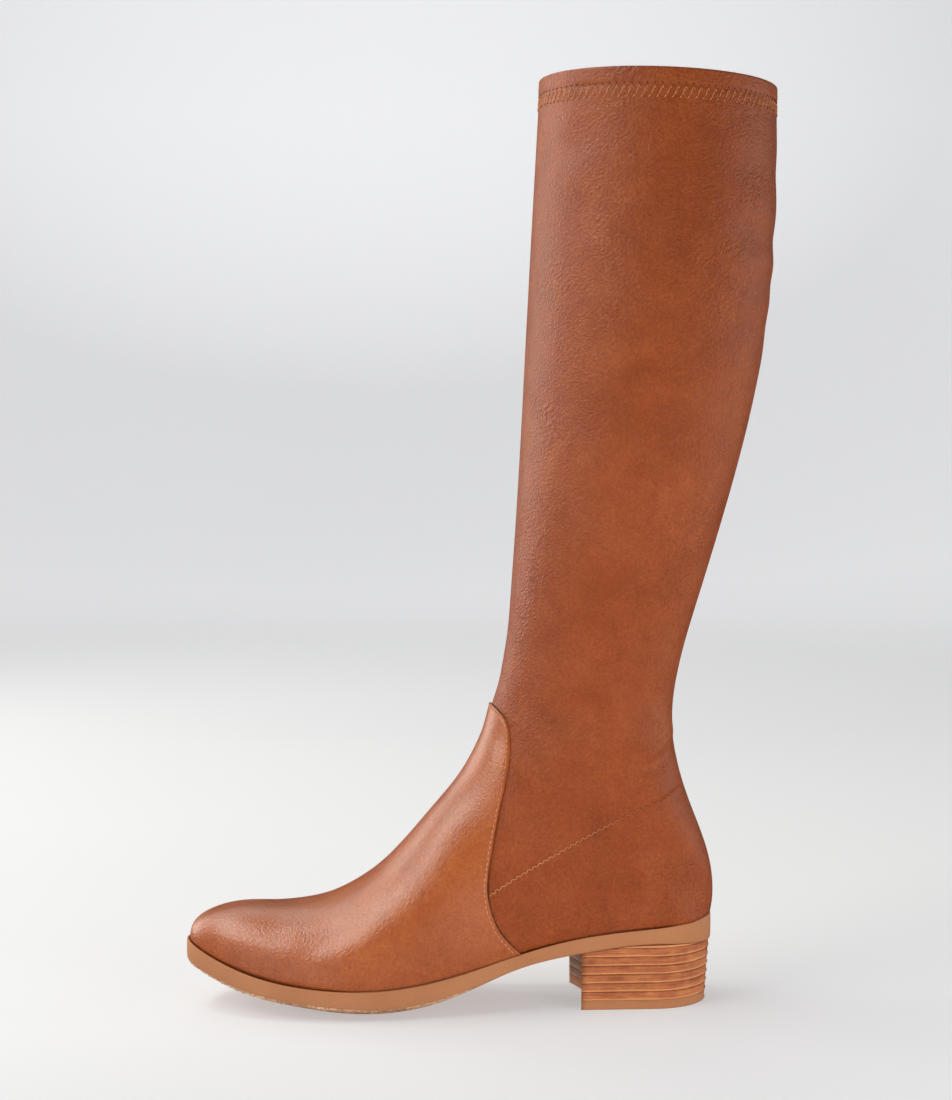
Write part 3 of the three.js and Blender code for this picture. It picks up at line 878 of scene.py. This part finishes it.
def under_height(loop):
    """Height of the crowned underside at each plan point."""
    outer, inner, _, bottom, crown = sole_at(loop[:, 0])
    half = np.maximum(np.where(loop[:, 1] > 0, outer, inner), 0.5)
    share = np.abs(loop[:, 1]) / half
    curl = np.clip((share - CROWN_FLAT) / (1 - CROWN_FLAT), 0, 1) ** 2
    return np.maximum(bottom - crown * (1 - curl), 0)


# Inset in mm; height as a share of the wall and then mm above it.
WALL_LOOPS = [
    (LIP + 1.4, 1, -SHELF), (LIP + 1.2, 1, -2.4), (LIP, 1, -0.9), (0.95, 1, -0.12),
    (0.5, 1, 0), (0.16, 1, -0.14), (0, 1, -0.55), (-0.1, 0.66, 0), (-0.1, 0.33, 0),
    (0, 0, 1.1), (0.22, 0, 0.42), (0.7, 0, 0.08),
]
wall_top, wall_bottom = sole_at(outline[:, 0])[2:4]
outsole_loops = []
for inset, share, more in WALL_LOOPS:
    height = wall_bottom + (wall_top - wall_bottom) * share + more
    outsole_loops.append(np.column_stack([step_in(outline, inset), height]))
for inset in (2.0, 5.0, 9.0, 14.0, 20.0):
    flat = step_in(outline, inset)
    outsole_loops.append(np.column_stack([flat, under_height(flat)]))
outsole_points = np.concatenate(outsole_loops)
outsole_faces = grid_faces(len(outsole_loops), SOLE_POINTS).tolist()


def bridge(first, flip):
    """Faces straight across a loop, from its outer side to its inner side."""
    faces = []
    for k in range(SOLE_POINTS // 2):
        corners = [first + i % SOLE_POINTS for i in (k, k + 1, -k - 1, -k)]
        face = list(dict.fromkeys(corners))
        if len(face) > 2:
            faces.append(face[::-1] if flip else face)
    return faces


outsole_faces += bridge(0, True) + bridge(len(outsole_points) - SOLE_POINTS, False)
add_piece(
    "outsole", outsole_points, outsole_faces, moulded_rubber, ["outsole"],
)

# %% [markdown]
# ## The tread
# Under the forefoot the rubber is gritty, and pale crumbs show along the wall's lower edge.
# The grit is a thin strip just inside the wall that hangs about half a millimetre lower, with
# every point nudged at random. The seed keeps it the same on every run.

# %% The tread mesh
random.seed(7)
GRIT_FROM = 115
GRIT_SCALE = 1.5
# Inset, how far it hangs and how far it strays, in mm.
GRIT_ROWS = [
    (0.5, -0.6, 0.05), (0.5, 0.05, 0.4), (1.2, 0.2, 0.45), (2.4, 0.3, 0.35), (4.0, 0.3, 0.2),
]


def jitter(count, size):
    return np.array([random.uniform(-size, size) for _ in range(count)])


grit_outline = even_outline(1200)
grit_share = smooth_step(grit_outline[:, 0], GRIT_FROM, GRIT_FROM + 30)
grit_section = sole_at(grit_outline[:, 0])
grit_loops = []
for inset, hang, wild in GRIT_ROWS:
    flat = step_in(grit_outline, inset + jitter(len(grit_outline), wild))
    base = under_height(step_in(grit_outline, max(inset - 0.4, 0)))
    base = np.where(inset < 1, grit_section[3], base)
    drop = (hang + jitter(len(grit_outline), wild)) * GRIT_SCALE * grit_share
    height = np.maximum(base + 0.25 * (1 - grit_share) - drop, 0.02)
    grit_loops.append(np.column_stack([flat, height]))
tread_faces = grid_faces(len(grit_loops), len(grit_outline))
add_piece(
    "tread", np.concatenate(grit_loops), tread_faces,
    rubber("tread_rubber", paint(226, 186, 150), paint(150, 100, 68), 0.7),
)

# %% [markdown]
# ## The heel
# The heel is a top piece of rubber on the floor and six layers above it, the last one a
# wedge under the sloping seat. Each is its own piece with slightly broken edges. The heel's
# back and sides lean in a little towards the floor, and its front is hollowed.

# %% The heel meshes
HEEL_LEAN = 2.2
HEEL_INSET = 0.8
BREAST = 61
BREAST_HOLLOW = 6
EDGE_BREAK = 0.16
SEAT = SOLE[1, 0]
ARC_STEPS = 72
BREAST_STEPS = 28


def heel_plan(height):
    """The heel's outline at a height, from the outer breast corner around the back."""
    seat_bottom = sole_at([SEAT])[3][0]
    lean = HEEL_LEAN * (1 - height / seat_bottom)
    outer, inner = (w[0] - HEEL_INSET - lean for w in sole_at([BREAST - 10])[:2])
    back = lean + HEEL_INSET
    angle = np.linspace(0, math.pi, ARC_STEPS + 1)
    side = np.cos(angle)
    width = np.where(side > 0, outer, inner)
    arc = np.stack([SEAT - (SEAT - back) * np.sin(angle), side * width], 1)
    along = np.linspace(0, 1, 10, endpoint=False)[:, None]
    corner_x = BREAST + BREAST_HOLLOW
    outer_side = np.array([[corner_x, outer]]) * (1 - along) + arc[:1] * along
    inner_side = (arc[-1:] * (1 - along) + np.array([[corner_x, -inner]]) * along)[1:]
    share = np.linspace(-1, 1, BREAST_STEPS + 1)
    widths = np.where(share > 0, outer, inner)
    breast = np.stack([BREAST + BREAST_HOLLOW * share ** 2, share * widths], 1)[:-1]
    return np.concatenate([outer_side, arc, inner_side, breast])


def heel_layer(name, low, high, finish, wedge=False):
    rings = []
    levels = [
        (EDGE_BREAK * 2.5, 0), (EDGE_BREAK, 0), (0, EDGE_BREAK),
        (0, -EDGE_BREAK), (EDGE_BREAK, 0), (EDGE_BREAK * 2.5, 0),
    ]
    for i, (inset, nudge) in enumerate(levels):
        at_top = i >= len(levels) / 2
        plan = heel_plan(high if at_top else low)
        flat = step_in(plan, inset)
        level = np.full(len(flat), float(high if at_top else low))
        if at_top and wedge:
            level = sole_at(plan[:, 0])[3] - 0.1
        rings.append(np.column_stack([flat, level + nudge]))
    count = len(rings[0])
    points = np.concatenate(rings)
    middles = [rings[0].mean(axis=0), rings[-1].mean(axis=0)]
    faces = grid_faces(len(rings), count).tolist()
    faces += fan_faces(range(count)[::-1], len(points))
    faces += fan_faces(range(len(points) - count, len(points)), len(points) + 1)
    add_piece(name, np.vstack([points, middles]), faces, finish, [name])


heel_layer("top_piece", 0, TOP_PIECE, moulded_rubber)
for number in range(LIFTS):
    bottom = TOP_PIECE + number * LIFT
    heel_layer(
        f"heel_lift_{number + 1}", bottom, bottom + LIFT, heel_stack,
        wedge=number == LIFTS - 1,
    )

# %% [markdown]
# ## The sock
# The foot rests on a thin sock over the board. Its edge is found by looking sideways from the
# middle of the boot until the lining is met, so it always reaches the wall.

# %% The sock mesh
wall_faces = grid_faces(*lining.shape[:2]).tolist()
wall_inside = BVHTree.FromPolygons(lining.reshape(-1, 3).tolist(), wall_faces)
SOCK_RISE = 1.3
SOCK_TUCK = 0.6
SOCK_CUP = 1.2
ACROSS = 17
sock_rows = []
for x in np.linspace(6, SOLE_LENGTH - 12, 70):
    outer, inner, top = (row[0] for row in sole_at([x])[:3])
    middle_y = (outer - inner) / 2
    height = top + SOCK_RISE
    ends = []
    for way in (-1, 1):
        hit = wall_inside.ray_cast(Vector((x, middle_y, height)), Vector((0, way, 0)))[0]
        ends.append(hit.y + way * SOCK_TUCK if hit else None)
    if None in ends:
        continue
    share = np.linspace(-1, 1, ACROSS)
    y = (ends[0] + ends[1]) / 2 + share * (ends[1] - ends[0]) / 2
    cup = SOCK_CUP * (np.abs(share) ** 3 - 0.5)
    sock_rows.append(np.stack([np.full(ACROSS, x), y, height + cup], 1))
sock = np.array(sock_rows)
f = Finish("sock_leather")
grain = f.cells(f.place(), 1100)
colour = f.tones(grain, [(0.0, paint(186, 146, 108)), (0.5, paint(206, 168, 128))])
sock_leather = f.done(Base_Color=colour, Roughness=0.6, Normal=f.bump(grain, 0.0001))
add_piece(
    "sock", sock.reshape(-1, 3), grid_faces(*sock.shape[:2], closed=False)[:, ::-1],
    sock_leather, ["insole"],
)

# %% [markdown]
# ## Stitches
# A stitch is a short piece of thread that dives into the leather at both ends. A line is
# marked on the leather, stitches are stepped off along it, and each is a small bent tube
# whose ends are under the surface. The lines differ in pitch, slant and thread.

# %% One stitch
THREAD_SIDES = 6
BEND = np.array([0.0, 0.14, 0.36, 0.64, 0.86, 1.0])


def thread_tube(start, end, up, radius, high):
    """One stitch as points and faces, from one hole to the other."""
    line = start + (end - start) * BEND[:, None]
    rise = high * np.sin(np.pi * BEND) ** 0.5 - radius * 1.4 * (np.abs(BEND - 0.5) == 0.5)
    line = line + up * rise[:, None]
    along = (end - start) / np.linalg.norm(end - start)
    side = np.cross(along, up)
    over = np.cross(side, along)
    angle = 2 * math.pi * np.arange(THREAD_SIDES) / THREAD_SIDES
    thick = radius * (0.55 + 0.45 * np.sin(np.pi * BEND) ** 0.7)
    rings = line[:, None] + thick[:, None, None] * (
        np.cos(angle)[None, :, None] * side + np.sin(angle)[None, :, None] * over
    )
    return rings.reshape(-1, 3)


tube_faces = grid_faces(len(BEND), THREAD_SIDES)
tube_ends = np.array([
    range(THREAD_SIDES)[::-1],
    range(THREAD_SIDES * (len(BEND) - 1), THREAD_SIDES * len(BEND)),
])

# %% A run of stitches along a marked line
AXIS_FROM = 20
AXIS_TO = 75


def mark(points, skin):
    """The nearest places on a surface to some points, and the normals there."""
    found = [skin.find_nearest(Vector(point))[:2] for point in points]
    return tuple(np.array(column) for column in zip(*found))


def step_off(line, pitch):
    """Points at equal steps along a line."""
    run = run_along(line)
    return resample(line, np.arange(0, run[-1], pitch), run)


def leg_middle(places):
    """A point on the boot's middle line level with each place."""
    middle = places.copy()
    middle[:, 0] = np.clip(places[:, 0], AXIS_FROM, AXIS_TO)
    middle[:, 1] = 0
    return middle


def sew(name, lines, skin, pitch, stitches, radius, high, finish):
    """Thread along marked lines. A stitch is (along, aside, along, aside) about its step."""
    points, faces = [], []
    for line in lines:
        steps = step_off(line, pitch)
        along = np.gradient(steps, axis=0)
        along /= np.linalg.norm(along, axis=1, keepdims=True)
        places, normals = mark(steps, skin)
        outwards = np.sign(((places - leg_middle(places)) * normals).sum(1, keepdims=True))
        normals = normals * np.where(outwards == 0, 1, outwards)
        aside = np.cross(normals, along)
        for k, step in enumerate(steps):
            for stitch in stitches:
                ends = [step + along[k] * a + aside[k] * s for a, s in (stitch[:2], stitch[2:])]
                base = len(points) * THREAD_SIDES * len(BEND)
                points.append(thread_tube(*mark(ends, skin)[0], normals[k], radius, high))
                faces += (tube_faces + base).tolist() + (tube_ends + base).tolist()
    add_piece(name, np.concatenate(points), faces, finish)


leg_skin = BVHTree.FromPolygons(leg_rows.reshape(-1, 3).tolist(), leg_faces.tolist())
vamp_skin = BVHTree.FromPolygons(vamp_points.tolist(), vamp_faces)

# %% The threads
# From and to, in mm from the heel, where the seam thread's painted shade fades out toward the lit
# toe side.
THREAD_SHADE_SPAN = (26, 92)


def thread(name, colour, lighter, shaded_back=False):
    """Fine strands in two tones, or a thread painted darker toward the back as shade, away from
    the lamps on the toe side.
    """
    f = Finish(name)
    place = f.place()
    strands = f.noise(place, 3000, 2)
    if shaded_back:
        # Painted shade: the thread darker toward the back, lighter toward the lamps.
        lit_share = f.rise((f.xyz(place)[0] - HEEL_BACK[0]) / MM, *THREAD_SHADE_SPAN)
        tone = f.mix(lit_share, colour, lighter)
    else:
        tone = f.tones(strands, [(0.35, colour), (0.65, lighter)])
    return f.done(
        Base_Color=tone, Roughness=0.55 + 0.1 * strands, Normal=f.bump(strands, 0.0001),
    )


tan_thread = thread("tan_thread", paint(184, 110, 66), paint(214, 146, 98))
pale_thread = thread("pale_thread", paint(202, 132, 88), paint(228, 166, 122))
side_thread = thread("side_thread", paint(166, 86, 42), paint(214, 150, 104), True)
# A near-black thread, used only as painted shade in the needle holes.
hole_shade = thread("hole_shade", paint(70, 30, 16), paint(92, 42, 22))
print("threads:", tan_thread.name, pale_thread.name, side_thread.name, hole_shade.name)

# %% [markdown]
# The hem is held by slanted stitches in two rows. The upper ones are long and lean forward,
# and the lower ones are short and start between them. At the top of each long one a dark stub
# of thread is painted shade for the needle hole.

# %% Sew the hem
HEM_PITCH = 3.65
hem_line = upper_ring(TOP - HEM_TOP_ROW, 0.3, 60)
hem_line = np.vstack([hem_line, hem_line[:1]])
sew(
    "hem_stitches", [hem_line], leg_skin, HEM_PITCH,
    [(-0.7, -4.7, 0.8, -0.4), (0.8, -0.4, 1.5, -1.8), (-1.9, -6.1, -0.8, -4.5)],
    0.24, 0.28, tan_thread,
)
# Painted shade: a dark stub of thread where each needle hole is.
sew(
    "hem_hole_shade", [hem_line], leg_skin, HEM_PITCH, [(0.6, 0.5, 1.15, 0.7)],
    0.42, 0.04, hole_shade,
)

# %% [markdown]
# A single row of straight stitches follows the vamp's folded edge a little under two
# millimetres in. Its line is a row of the vamp's own grid.

# %% Sew the vamp
stitch_row = main_rows + int(np.argmin(np.abs(from_edge - STITCH_IN)))
vamp_line = vamp[stitch_row]
above_sole = vamp_line[:, 2] > sole_at(vamp_line[:, 0])[2] + 1.5
first_hidden = int(np.argmin(above_sole))
vamp_line = np.roll(vamp_line, -first_hidden, axis=0)
vamp_line = vamp_line[np.roll(above_sole, -first_hidden)]
sew(
    "vamp_stitches", [vamp_line], vamp_skin, 2.6, [(-0.95, 0.0, 0.95, 0.0)],
    0.25, 0.22, pale_thread,
)

# %% [markdown]
# The diagonal seam and the seam down the back are closed edge to edge with a small zigzag.
# Their lines are found by looking at the boot from the side, or from behind, and marking
# where the line of sight meets the leather.

# %% Sew the zigzag seams
def look(origins, direction):
    """Where parallel lines of sight meet the leg."""
    hits = [leg_skin.ray_cast(Vector(o), Vector(direction))[0] for o in origins]
    return np.array([h for h in hits if h is not None])


seam_span = np.linspace(DIAGONAL_SEAM[0][0] - 1.0, DIAGONAL_SEAM[-1][0], 120)
seam_heights = np.polyval(seam_curve, seam_span)
FAR = 200.0
diagonals = [
    look([(x, side * FAR, z) for x, z in zip(seam_span, seam_heights)], (0, -side, 0))
    for side in (1, -1)
]
ZIGZAG = [(-0.75, -0.6, 0.75, 0.6), (0.75, 0.6, 2.25, -0.6)]
sew(
    "side_seam_stitches", diagonals, leg_skin, 3.0, ZIGZAG,
    0.2, 0.16, side_thread,
)
back_heights = np.linspace(BACK_SEAM_FROM, BOOT_HEIGHT - 24, 400)
back_line = look([(-FAR, 0, z) for z in back_heights], (1, 0, 0))
sew(
    "back_seam_stitches", [back_line], leg_skin, 2.4, ZIGZAG,
    0.16, 0.12, tan_thread,
)

# %% [markdown]
# ## Floor, air and light
# A floor of pale paper curves up all around, far from the boot. It glows a little, by a
# graded amount, and the leather does not mirror it. The air is dim. Large warm lamps give the
# satin leather its long soft highlights, and white ones only fill shadows.

# %% The sweep
SWEEP_FLAT = 2.4
SWEEP_CURVE = 0.9
SWEEP_TOP = 1.7
SWEEP_REACH = SWEEP_FLAT + SWEEP_CURVE
profile = [(r, 0.0) for r in (0.0001, 0.6, 1.2, 1.8)]
profile += [
    (SWEEP_FLAT + SWEEP_CURVE * math.sin(a), SWEEP_CURVE * (1 - math.cos(a)))
    for a in np.linspace(0, math.pi / 2, 14)
]
profile.append((SWEEP_REACH, SWEEP_TOP))
turns = np.linspace(0, 2 * math.pi, 96, endpoint=False)
sweep_points = np.array([
    [(r * math.cos(t), r * math.sin(t), z) for t in turns] for r, z in profile
]).reshape(-1, 3)
sweep_faces = grid_faces(len(profile), len(turns)).tolist()
sweep_mesh = bpy.data.meshes.new("sweep")
sweep_mesh.from_pydata(sweep_points.tolist(), [], sweep_faces)
sweep_mesh.polygons.foreach_set("use_smooth", [True] * len(sweep_mesh.polygons))
sweep = in_scene("sweep", sweep_mesh)

# %% The paper
# Metres from the boot toward the viewer's side, and how much the paper glows there.
GLOW = [
    (-3.3, 0.63), (-3.12, 0.49), (-2.6, 0.54), (-1.0, 0.39), (0.06, 0.37), (0.2, 0.29),
    (1.4, 0.05),
]
f = Finish("studio_paper")
place = f.place()
cloud = f.noise(place, 1.2, 2)
sweep_mesh.materials.append(f.done(
    Base_Color=f.tones(cloud, [(0.3, (0.49, 0.50, 0.53)), (0.7, (0.51, 0.52, 0.55))]),
    Emission_Color=f.tones(
        (f.xyz(place)[1] + SWEEP_REACH) / (2 * SWEEP_REACH),
        [((y + SWEEP_REACH) / (2 * SWEEP_REACH), (glow,) * 3) for y, glow in GLOW],
    ),
    Emission_Strength=1.0, Roughness=0.9, Specular_IOR_Level=0.1,
))
sweep.visible_glossy = False
print("paper sweep", 2 * SWEEP_REACH, "m across")

# %% The air and the lamps
world = bpy.data.worlds.new("studio_air")
bpy.context.scene.world = world
world.use_nodes = True
air = world.node_tree.nodes["Background"]
air.inputs["Color"].default_value = (1.0, 1.0, 1.0, 1)
air.inputs["Strength"].default_value = 0.04

WARM_LIGHT = (1.0, 0.97, 0.88)
WHITE_LIGHT = (1.0, 1.0, 1.0)


def lamp(name, place, aim, size, power, seen=True):
    """A rectangular soft lamp that faces an aim point; unseen ones leave no highlight."""
    data = bpy.data.lights.new(name, "AREA")
    data.shape = "RECTANGLE"
    data.size, data.size_y = size
    data.energy = power
    data.color = WARM_LIGHT if seen else WHITE_LIGHT
    body = in_scene(name, data)
    body.location = place
    body.visible_glossy = seen
    body.visible_camera = False
    body.rotation_euler = facing(Vector(aim) - Vector(place))
    print(name, "at", place, "power", power)


lamp("toe_side_lamp", (1.25, -0.9, 0.5), (0, 0, 0.12), (1.1, 1.1), 10.5)
lamp("toe_top_lamp", (0.92, -0.25, 1.65), (0.08, 0, 0.05), (0.8, 0.45), 9)
lamp("toe_front_lamp", (1.0, 0.55, 1.12), (0.08, 0, 0.05), (0.8, 0.7), 8)
lamp("back_lamp", (0.4, -1.2, 1.3), (0.08, 0, 0.05), (1.2, 0.6), 5)
lamp("heel_front_lamp", (-0.7, 1.5, 0.45), (0, 0, 0.2), (0.6, 0.8), 0.7)
lamp("toe_fill_lamp", (1.2, 0.5, 0.2), (0.0, 0, 0.05), (0.8, 0.4), 1.8, False)
lamp("low_toe_lamp", (0.5, 0.5, 0.10), (0.06, 0, 0.03), (0.4, 0.18), 1.2, False)
lamp("low_heel_lamp", (-0.42, 0.55, 0.10), (0, 0, 0.03), (0.4, 0.18), 2.8, False)
lamp("top_lamp", (-0.1, 0.1, 2.3), (-0.1, 0.0, 0), (2.0, 1.6), 3.5, False)
lamp("heel_side_lamp", (-1.4, -0.1, 0.35), (0, 0, 0.12), (1.2, 0.9), 3.9)
bpy.context.scene.view_settings.view_transform = "Standard"
